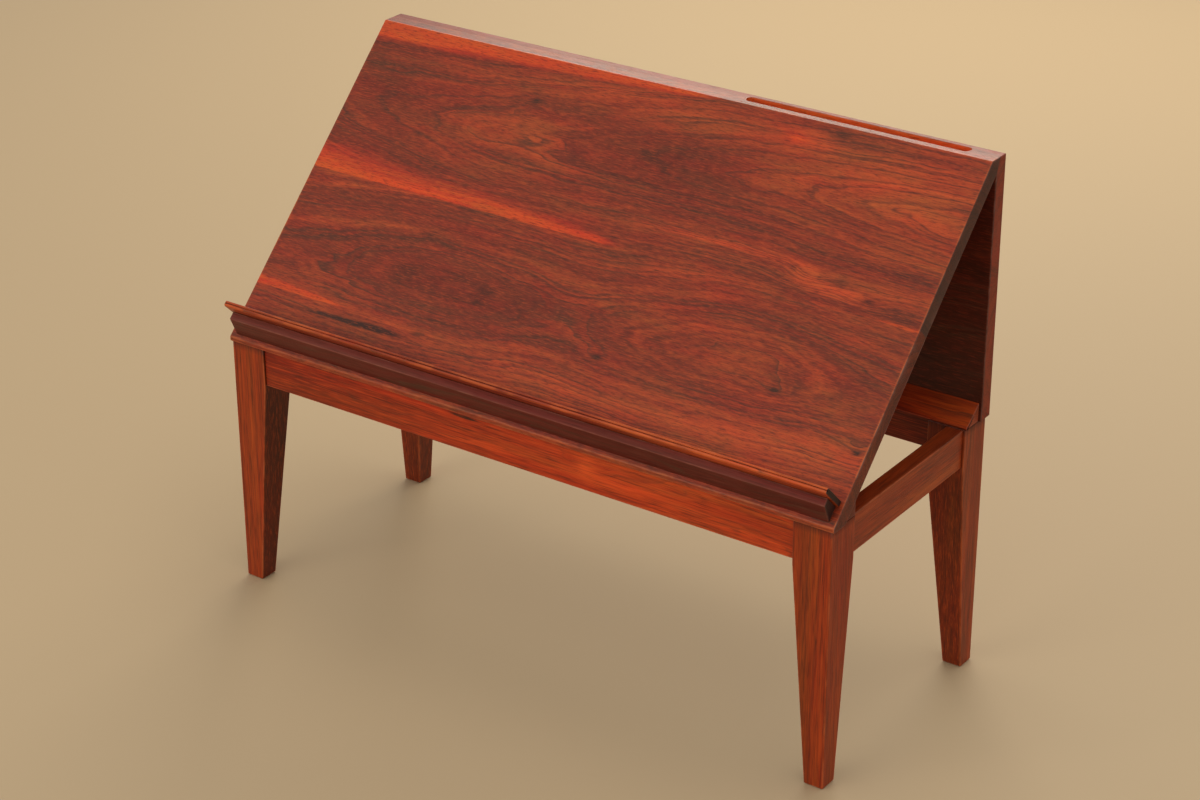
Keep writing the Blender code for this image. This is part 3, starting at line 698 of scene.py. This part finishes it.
graph, given, put = new_group(
    "walnut_finish",
    "Place: Vector, Figure, Lines, Streaks, Fine, Pores, Tint, Sapwood, Shade, Dark: Color, "
    "Middle: Color, Light: Color, Worn: Color, Wear, End Dark",
    "Colour: Color, Roughness, Height")
lower_half = graph.mix(graph.span(given["Figure"], 0.0, 0.5, smooth=False), given["Dark"], given["Middle"])
colour = graph.mix(graph.span(given["Figure"], 0.5, 1.0, smooth=False), lower_half, given["Light"])
colour = graph.mix(graph.times(given["Shade"], 0.85, clamp=True), colour, SHADE)
colour = graph.mix(graph.times(given["Lines"], 0.85), colour, YEAR_LINE)
depth = graph.times(given["Streaks"], 1.2, graph.times(given["Fine"], 0.4, given["Sapwood"]))
sap = graph.mix(graph.span(depth, 1.0, 2.5), SAP_RED, SAP_ORANGE)
colour = graph.mix(given["Sapwood"], colour, sap)
colour = graph.mix(graph.times(graph.attribute("fresh_cut"), 0.75), colour, FRESH)
colour = graph.mix(1.0, colour, graph.mix(given["Tint"], REDDER, BROWNER), "MULTIPLY")
# Painted shade: faces under the stand are pulled towards a dark brown.
colour = graph.mix(graph.times(graph.attribute("painted_shade"), 0.5), colour, PAINTED_SHADE_BROWN)
colour = graph.mix(graph.span(given["Fine"], 0.5, 0.1, 0.0, 0.6), colour, DARK_FIBRE)
colour = graph.mix(graph.span(given["Fine"], 0.5, 0.9, 0.0, 0.4), colour, given["Light"])
colour = graph.mix(graph.times(given["Pores"], 0.3), colour, PORE)
end, edge = graph.attribute("end_grain"), graph.attribute("wear")
patches = graph.span(graph.noise(given["Place"], (30.0, 60.0, 60.0), 3.0, 0.6), 0.42, 0.64)
worn = graph.times(graph.times(edge, given["Wear"]), graph.times(patches, 0.6, 0.2))
colour = graph.mix(graph.times(end, given["End Dark"]), colour, END_GRAIN)
# Worn arrises: paler, drier wood, and in places also a painted highlight along the arris.
colour = graph.mix(worn, colour, graph.mix(graph.span(end, 0.05, 0.4), given["Worn"], WORN_END_AND_HIGHLIGHT))
graph.feed(put["Colour"], colour)
rough = graph.times(given["Streaks"], -0.06, 0.42)
rough = graph.times(given["Pores"], 0.15, rough)
rough = graph.times(end, 0.16, rough)
graph.feed(put["Roughness"], graph.times(worn, 0.15, rough))
height = graph.times(given["Fine"], 0.4, graph.times(given["Streaks"], 0.4))
height = graph.times(given["Pores"], -0.8, height)
graph.feed(put["Height"], graph.times(patches, graph.times(edge, 0.8), height))
walnut_finish = graph.tree

# %% [markdown]
# One class makes the material of each piece. Its Mapping node turns the object's coordinates so
# that the first runs along that piece's grain, the second across its show face and the third out
# of it. Every piece has its own heart, so no two come from the same slice of tree.

# %% Walnut
TONES = {
    "board": ((78, 31, 18), (134, 48, 27), (196, 80, 36), (206, 106, 50)),
    # The panel's tones are darker than its wood: a painted shade for its shadowed inner face.
    "panel": ((42, 17, 11), (84, 30, 17), (150, 56, 30), (130, 62, 40)),
    "shelf": ((76, 22, 12), (138, 44, 20), (200, 82, 34), (232, 116, 56)),
    # The moulding's light tone is a mauve grey: a painted sheen for its fascia.
    "moulding": ((82, 14, 5), (104, 32, 22), (124, 58, 46), (150, 90, 72)),
    "cleat": ((104, 32, 12), (150, 50, 18), (196, 78, 28), (190, 96, 50)),
    "apron": ((96, 27, 14), (166, 50, 20), (220, 82, 32), (204, 96, 56)),
    "leg": ((92, 34, 16), (144, 50, 20), (192, 78, 28), (204, 104, 58)),
}
FLAT_SAWN = {"Bands": 0.18, "Flow": 0.34, "Curl": 0.16, "Streaks": 0.12, "Flecks": 0.24}
CURLY = {"Bands": 0.18, "Flow": 0.38, "Curl": 0.20, "Streaks": 0.06, "Flecks": 0.19}
STRAIGHT = {"Bands": 0.26, "Flow": 0.30, "Curl": 0.05, "Streaks": 0.38, "Flecks": 0.06}
RECORD_REACH, RECORD_STEP, RECORD_SHARE = 0.130, 0.0008, 0.22
DARK_YEAR = ((-4, 0.52), (-1.5, 0.75), (-0.3, 0.0), (0.3, 0.1), (2, 0.5))
PALE_YEAR = ((-2.5, 0.5), (-1, 1.0), (1, 1.0), (2.5, 0.5))
SAP_DEPTH = (-0.0025, -0.0005)
ALONG_X, ALONG_Y, UPRIGHT = (1, 0, 0), (0, 1, 0), (0, 0, 1)
UP_BOARD = (0, SLOPE[0], SLOPE[1])
NOSE_POINT = (0, NOSE[0], NOSE[1])
END = 0.384


class Timber:
    """The material of one piece, built up step by step.

    Its places are counted from the given origin. The shift moves it to its own part of the tree.
    """

    def __init__(self, obj, across, origin, shift=(0, 0, 0), grain=ALONG_X):
        self.obj, self.shift = obj, shift
        self.material, graph = new_material(obj.name)
        self.graph = graph
        axes = Matrix((Vector(grain), Vector(across), Vector(grain).cross(Vector(across))))
        coordinates = graph.node("ShaderNodeTexCoord").outputs["Object"]
        offset = Vector(shift) - axes @ Vector(origin)
        self.place = graph.node("ShaderNodeMapping", {
            "Vector": coordinates, "Location": offset, "Rotation": axes.to_euler()}).outputs[0]
        bend = graph.noise(self.place, (7.0, 40.0, 40.0), 2.0, output="Color")
        bend = graph.vector("ADD", bend, (-0.5, -0.5, -0.5))
        self.bent = graph.vector("MULTIPLY_ADD", bend, (0.02, 0.008, 0.0), self.place)
        self.swelling, self.shade, self.sap, self.glow, self.record = 0.0, 0.0, 0.0, 0.0, None

    def group(self, tree, **inputs):
        made = self.graph.node("ShaderNodeGroup", node_tree=tree)
        for name, value in inputs.items():
            self.graph.feed(made.inputs[name.replace("_", " ")], value)
        return made.outputs

    def hump(self, *millimetres):
        """The knot group at a place along and across the grain, with its length and width."""
        along, across, length, width = (value / 1000 for value in millimetres)
        return self.group(knot, Place=self.bent, Along=along + self.shift[0],
                          Across=across + self.shift[1], Length=length, Width=width)

    def lay(self, mask, sap, shade, glow):
        """Adds a mask to the sapwood, the shade and the glow, as strong as each number says."""
        if glow:
            self.glow = self.graph.times(mask, glow, self.glow)
        if sap:
            self.sap = self.graph.times(mask, sap, self.sap, clamp=True)
        if shade:
            self.shade = self.graph.times(mask, shade, self.shade)

    def add_knots(self, *rows):
        """Each row: along, across, length, width and swelling, in millimetres, then darkness."""
        for *place, swelling, dark in rows:
            out = self.hump(*place)
            self.swelling = self.graph.times(out["Hump"], swelling / 1000, self.swelling)
            self.lay(out["Core"], 0, dark, 0)

    def add_patches(self, *rows):
        """Each row: along, across, length and width, in millimetres, then sapwood, shade, glow."""
        for *place, sap, shade, glow in rows:
            self.lay(self.hump(*place)["Hump"], sap, shade, glow)

    def add_wedge(self, start, stop, base, height, softness, sap=0.0, shade=0.0):
        mask = self.group(wedge, Place=self.place, From=start, To=stop, Base=base, Height=height,
                          Softness=softness)["Mask"]
        self.lay(mask, sap, shade, 0)

    def paint_light_by_depth(self, low, high, at_low, at_high):
        """Paints one face of a piece lighter or darker than the rest of it: painted light and shade."""
        depth = self.graph.parts(self.place)[2]
        self.glow = self.graph.span(depth, low + self.shift[2], high + self.shift[2], at_low, at_high)

    def curve(self, value, start, stop, points, handles="AUTO"):
        """A value that follows a curve through (place, height) points, from start to stop."""
        share = self.graph.span(value, start, stop, smooth=False)
        node = self.graph.node("ShaderNodeFloatCurve", {"Value": share})
        line = node.mapping.curves[0]
        places = [((place - start) / (stop - start), height) for place, height in points]
        line.points[0].location, line.points[1].location = places[0], places[-1]
        for place in places[1:-1]:
            line.points.new(*place)
        for point in line.points:
            point.handle_type = handles
        node.mapping.update()
        return node.outputs[0]

    def along(self, *heights):
        """A value that goes through evenly spaced heights from the board's left end to its right."""
        places = np.linspace(-END, END, len(heights)).tolist()
        return self.curve(self.graph.parts(self.place)[0], -END, END, list(zip(places, heights)))

    def year_record(self, dark, pale, clear):
        """Years that stand out: dark lines, each paler towards the heart, and pale rings."""
        points = {0.0: 0.5, RECORD_REACH: 0.5}
        for years, shape in ((dark, DARK_YEAR), (pale, PALE_YEAR)):
            for year in years:
                points |= {year + step * RECORD_STEP: height for step, height in shape}
        self.record = sorted(points.items()), clear

    def finish(self, tone, heart_across, heart_depth, wander=0.03, ring_width=0.0035,
               weights=STRAIGHT, stretch=0.3, end_dark=0.6, wear=0.5, gloss=0.3, line_strength=1.0):
        graph = self.graph
        if any(self.shift):
            heart_across, heart_depth = self.shift[1] + heart_across, heart_depth - self.shift[2]
        sap = graph.times(self.sap, graph.span(graph.parts(self.place)[2], *SAP_DEPTH))
        heart = self.group(heart_distance, Place=self.place, Heart_Across=heart_across,
                           Heart_Depth=heart_depth, Wander=wander, Swelling=self.swelling)
        rings = self.group(year_rings, Place=self.place, Distance=heart["Distance"],
                           Flowing=heart["Flowing"], Ring_Width=ring_width)
        fibre = self.group(fibres, Place=graph.vector("MULTIPLY", self.place, (stretch, 1.0, 1.0)))
        figure = self.glow
        for pattern, weight in weights.items():
            source = rings if pattern in ("Bands", "Flow", "Curl") else fibre
            figure = graph.times(source[pattern], weight, figure)
        lines = graph.times(rings["Lines"], line_strength)
        if self.record:
            points, clear = self.record
            year = self.curve(heart["Distance"], 0.0, RECORD_REACH, points, handles="VECTOR")
            figure = graph.times(graph.centred(year), RECORD_SHARE, figure)
            lines = graph.math("MAXIMUM", lines, graph.times(graph.span(year, 0.45, 0.1), clear))
        dark, middle, light, worn = (linear(c) for c in TONES[tone])
        out = self.group(
            walnut_finish, Place=self.place, Figure=figure, Lines=lines, Sapwood=sap, Shade=self.shade,
            Dark=dark, Middle=middle, Light=light, Worn=worn, Wear=wear, End_Dark=end_dark,
            **{name: fibre[name] for name in ("Streaks", "Fine", "Pores", "Tint")})
        bump = graph.node("ShaderNodeBump", {"Height": out["Height"], "Strength": 0.3, "Distance": 0.0002})
        graph.surface({"Base Color": out["Colour"], "Roughness": out["Roughness"],
                       "Normal": bump.outputs[0], "Specular IOR Level": gloss})
        self.obj.data.materials.append(self.material)
        print(self.material.name, len(self.material.node_tree.nodes), "nodes")


# %% Timber of the reading board
timber = Timber(upper_plank, UP_BOARD, NOSE_POINT)
timber.add_wedge(-END, 0.035, 0.4025, -0.042, 0.5, shade=0.45)
timber.add_wedge(-END, 0.08, 0.4025, -0.0295, 0.45, sap=1.0)
timber.add_wedge(-END, 0.04, 0.2135, 0.0395, 0.65, sap=1.0)
# The row at along 350, across 300 lightens the board's right end: a painted sheen.
timber.add_patches(
    (168, 376, 15, 6, 0.8, 0, 0), (188, 379, 28, 8, 0.3, 0, 0.4), (214, 391, 14, 6, 0, 0.9, 0),
    (300, 391, 90, 6, 0, 0.2, 0), (20, 380, 300, 22, 0, 0, 0.22), (350, 300, 60, 100, 0, 0, 0.14),
    (-350, 320, 60, 90, 0, 0, -0.12), (150, 248.5, 85, 3, 0.35, 0, 0.4),
    (243, 240, 18, 8, 0.25, 0, 0.5), (285, 229, 42, 7, 0.2, 0, 0.6),
    (-190, 310, 80, 30, 0, 0, 0.09), (40, 310, 110, 35, 0, 0, -0.1), (185, 334, 50, 30, 0, 0, 0.18),
    (290, 340, 90, 32, 0, 0, 0.26), (-360, 285, 40, 50, 0, 0, 0.08), (282, 238, 14, 3, 0, 0.7, 0),
    (322, 227, 12, 4, 0, 0.8, 0), (356, 223, 22, 6, 0, 0.7, 0), (352, 262, 40, 14, 0, 0.35, 0))
timber.add_knots(
    (-200, 303, 45, 22, -4, 0), (-146, 349, 25, 14, -6, 1.3), (245, 236, 30, 14, -8, 0),
    (318, 227, 30, 10, -6, 0.5))
timber.year_record(
    [0.0198, 0.0235, 0.0309, 0.0357, 0.0448, 0.0525, 0.0655, 0.0734, 0.0850, 0.1060],
    [0.0215, 0.0335, 0.0565, 0.0970],
    timber.along(0.6, 0.6, 0.4, 0.2, 0.3, 0.5, 0.6, 0.6, 0.6))
centre = timber.along(0.316, 0.308, 0.305, 0.312, 0.319, 0.326, 0.328, 0.326, 0.325)
depth = timber.along(0.078, 0.070, 0.062, 0.056, 0.047, 0.038, 0.031, 0.022, 0.015)
timber.finish("board", centre, depth, 0.014, 0.0042, CURLY, 1.0, 0.85, 0.6)

timber = Timber(lower_plank, UP_BOARD, NOSE_POINT)
timber.add_wedge(-END, -0.26, 0.068, 0.0115, 0.4, sap=1.0)
timber.add_wedge(END, 0.335, 0.2135, -0.0045, 0.3, sap=0.8)
# The rows at along 350, across 110 and along 330, across 70 lighten the board's right end: a painted sheen.
timber.add_patches(
    (-265, 54.5, 55, 2.6, 0, 1.5, 0), (-205, 57, 38, 3.4, 0, 1.4, 0),
    (-340, 45, 100, 14, 0, 0, 0.28), (-154, 64.6, 8, 3, 0, 0.8, 0), (-92, 56, 14, 2.2, 0, 0.7, 0),
    (-150, 130, 120, 28, 0, 0, -0.16), (-311, 86, 90, 20, 0, 0, 0.14),
    (40, 56, 300, 20, 0, 0, 0.26), (240, 56, 160, 20, 0, 0, 0.16), (-130, 115, 240, 36, 0, 0, -0.1),
    (350, 110, 50, 100, 0, 0, 0.12), (212, 141, 60, 30, 0, 0, 0.12), (330, 70, 60, 22, 0, 0, 0.14),
    (355, 145, 30, 40, 0, 0.4, 0))
timber.add_knots(
    (57, 94, 25, 11, -5, 1.4), (264, 115, 28, 12, -6, 1.6), (-199, 172, 28, 10, -5, 0.8),
    (370, 78, 20, 12, -6, 1.6), (222, 136, 60, 34, -7, 0))
timber.year_record(
    [0.0415, 0.0475, 0.0515, 0.0625, 0.0760, 0.0865, 0.1000], [0.0445, 0.0713, 0.1035], 0.15)
centre = timber.along(0.112, 0.118, 0.122, 0.123, 0.126, 0.130, 0.134, 0.134, 0.130)
depth = timber.along(0.063, 0.058, 0.050, 0.0465, 0.050, 0.0575, 0.050, 0.040, 0.040, 0.046, 0.052)
timber.finish("board", centre, depth, 0.012, 0.0042, FLAT_SAWN, 1.0, 0.55, 0.6)

# %% Timber of the panel, ledge and cleats
for piece, shift, heart in ((panel_lower, (3.1, 0.4, 0.2), (0.07, 0.06)),
                            (panel_upper, (7.3, 1.4, 0.6), (0.22, 0.04))):
    timber = Timber(piece, UPRIGHT, (0, PANEL_INNER_Y, SEAT), shift)
    # Painted shade: the inner face stays dark, and the other faces are painted lighter again.
    timber.paint_light_by_depth(-0.003, -0.0005, 0.42, -0.16)
    timber.finish("panel", *heart, 0.05, 0.004, FLAT_SAWN, stretch=0.6, end_dark=0.1, gloss=0.2)
timber = Timber(ledge_shelf, UP_BOARD, NOSE_POINT, (11.0, 2.0, 1.0))
timber.add_patches((280, 25, 150, 50, 0, 0, 0.4))
# Its end grain is darkened fully: end grain is darker, and this also paints the shadow at the ledge's end as
# a painted shade.
timber.finish("shelf", 0.08, 0.03, 0.03, 0.0025, end_dark=1.0, wear=0.45, gloss=0.2)
timber = Timber(ledge_moulding, UP_BOARD, NOSE_POINT, (14.2, 2.7, 1.4))
# Painted light and shade: the fascia is painted lighter as a painted sheen, and the slanted face under it
# darker as a painted shade.
timber.paint_light_by_depth(MOULDING_DEPTH - 0.0012, MOULDING_DEPTH - 0.0004, -0.28, 0.22)
# Its arrises are paler: worn wood, and a painted highlight along the fascia's lower edge.
timber.finish("moulding", 0.07, 0.04, 0.03, 0.0025, end_dark=0.85, wear=0.85, gloss=0.2)
timber = Timber(front_cleat, UPRIGHT, (0, 0, SEAT), (17.0, 3.0, 2.0))
timber.finish("cleat", 0.06, 0.05, 0.03, 0.003)
timber = Timber(back_cleat, UPRIGHT, (0, 0, SEAT), (19.5, 3.7, 2.4))
# Painted light and shade: the right end, at the open side, is painted lighter as a painted highlight, and
# the middle darker as a painted shade.
timber.add_patches((375, 10, 80, 50, 0, 0, 0.3), (150, 10, 160, 50, 0, 0, -0.5))
timber.finish("cleat", 0.05, 0.04, 0.03, 0.003, end_dark=0.4)

# %% Timber of the base
for number, (side, obj) in enumerate(rails.items()):
    shift = np.array([21.0 + 3.3 * number, 5.0 + number, 3.0 + 0.5 * number])
    grain, tone = (ALONG_X, "apron") if side in ("front", "back") else (ALONG_Y, "leg")
    timber = Timber(obj, UPRIGHT, (0, 0, BASE_HEIGHT), shift, grain)
    if side == "front":
        timber.add_patches((-65, -4, 15, 1.5, 0, 2.5, 0))
        timber.add_knots((96, -12.3, 25, 8, -6, 0.4))
        timber.add_patches(
            (92, -14, 12, 10, 0, 0, 0.4), (-300, -20, 120, 40, 0, 0, -0.16),
            (-340, -5, 80, 20, 0, 0, -0.2), (160, -20, 180, 40, 0, 0, 0.14))
    timber.finish(tone, 0.05, 0.05, gloss=0.2, line_strength=0.5)
for number, (where, obj) in enumerate(legs.items()):
    shift = np.array([41.0 + 3.7 * number, 9.0 + number, 5.0 + 0.5 * number])
    timber = Timber(obj, ALONG_X, (0, 0, 0), shift, UPRIGHT)
    if where == ("front", "right"):
        timber.add_knots((169.6, 366.6, 14, 4, -2, 0.8))
    timber.finish("leg", 0.05, 0.06, 0.02, 0.003, wear=0.6, gloss=0.2, line_strength=0.4)

# %% [markdown]
# The dowels and screws are closed in by the timber and never seen, so their CAD shapes stay. They
# still get a finish: fluted birch, and zinc-plated steel, each with a fine noise in colour and gloss.

# %% Dowels and screws
def fine_grained(name, scale, octaves, dark, light, smoothest, roughest, metal=0.0):
    """A material whose colour and gloss follow one fine noise."""
    made, graph = new_material(name)
    place = graph.node("ShaderNodeTexCoord").outputs["Object"]
    grain = graph.noise(place, (scale, scale, scale), octaves, 0.6)
    graph.surface({"Base Color": graph.mix(grain, linear(dark), linear(light)), "Metallic": metal,
                   "Roughness": graph.span(grain, 0.2, 0.8, smoothest, roughest)})
    return made


birch = fine_grained("birch_dowel", 260.0, 3.0, (190, 158, 112), (220, 194, 150), 0.5, 0.62)
steel = fine_grained("steel_screw", 900.0, 2.0, (138, 140, 144), (168, 170, 172), 0.28, 0.42, 1.0)
fasteners = [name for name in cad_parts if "dowel" in name or "screw" in name]
for name in fasteners:
    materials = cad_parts[name].data.materials
    materials.clear()
    materials.append(steel if "screw" in name else birch)
print("dowels and screws:", len(fasteners))

# %% [markdown]
# The set is plain: a pale floor, an even soft sky all round, and four large weak lamps. One lies
# low behind the stand, where the flat top mirrors it as a pale sheen. One in front lifts the front
# faces, a faint one does the same for the right side, and one overhead gives the board's near
# corner a little gloss. The level is such that a surface renders about as bright as its colour says.

# %% Floor and light
FLOOR_COLOUR = (187, 163, 129)
SKY_COLOUR, SKY_LEVEL = (1.0, 0.985, 0.95, 1.0), 0.62
LAMP_AIM, LAMP_DISTANCE = Vector((0, 0, 0.35)), 3.0
WARM_WHITE, LOW_SUN = (1.0, 0.96, 0.88), (1.0, 0.92, 0.76)

bpy.ops.mesh.primitive_plane_add(size=12.0)
floor = bpy.context.object
floor.name = "floor"
finish, graph = new_material("floor")
graph.surface({"Base Color": linear(FLOOR_COLOUR), "Roughness": 0.6, "Specular IOR Level": 0.2})
floor.data.materials.append(finish)

world = bpy.data.worlds.new("sky")
bpy.context.scene.world = world
world.use_nodes = True
background = world.node_tree.nodes["Background"]
background.inputs["Color"].default_value = SKY_COLOUR
background.inputs["Strength"].default_value = SKY_LEVEL


def soft_lamp(name, direction, width, height, radiance, colour=WARM_WHITE):
    """A rectangular lamp that faces the stand. Its watts are radiance * pi * width * height."""
    lamp = bpy.data.lights.new(name, "AREA")
    lamp.shape = "RECTANGLE"
    lamp.size, lamp.size_y = width, height
    lamp.energy = radiance * math.pi * width * height
    lamp.color = colour
    obj = bpy.data.objects.new(name, lamp)
    obj.location = LAMP_AIM + Vector(direction).normalized() * LAMP_DISTANCE
    obj.rotation_euler = Vector(direction).to_track_quat("Z", "Y").to_euler()
    bpy.context.scene.collection.objects.link(obj)


soft_lamp("window_behind", (-0.255, 0.845, 0.445), 2.5, 1.5, 3.65, LOW_SUN)
soft_lamp("front", (-0.30, -0.90, 0.30), 2.0, 1.4, 2.6)
soft_lamp("side", (0.85, -0.40, 0.40), 1.6, 1.4, 0.3)
soft_lamp("overhead", (0.15, 0.1, 1.0), 1.6, 1.6, 1.8)

# %% [markdown]
# The camera stands where a fit to the photograph's straight edges puts it: about three metres off,
# well above the board and to the right, with a lens of 84 mm. The small shift is what that fit
# gives for the middle of the picture.

# %% Camera
camera = bpy.data.objects.new("camera", bpy.data.cameras.new("camera"))
camera.data.sensor_width = 36.0
camera.data.lens = 84.1
camera.data.shift_x, camera.data.shift_y = -0.0165, -0.0034
camera.location = (1.5567, -2.1867, 1.5774)
camera.rotation_euler = (math.radians(90 - 25.94), 0.0, math.radians(34.92))
camera.data.clip_start, camera.data.clip_end = 0.1, 60.0
bpy.context.scene.collection.objects.link(camera)
bpy.context.scene.camera = camera
bpy.context.scene.view_settings.view_transform = "Standard"
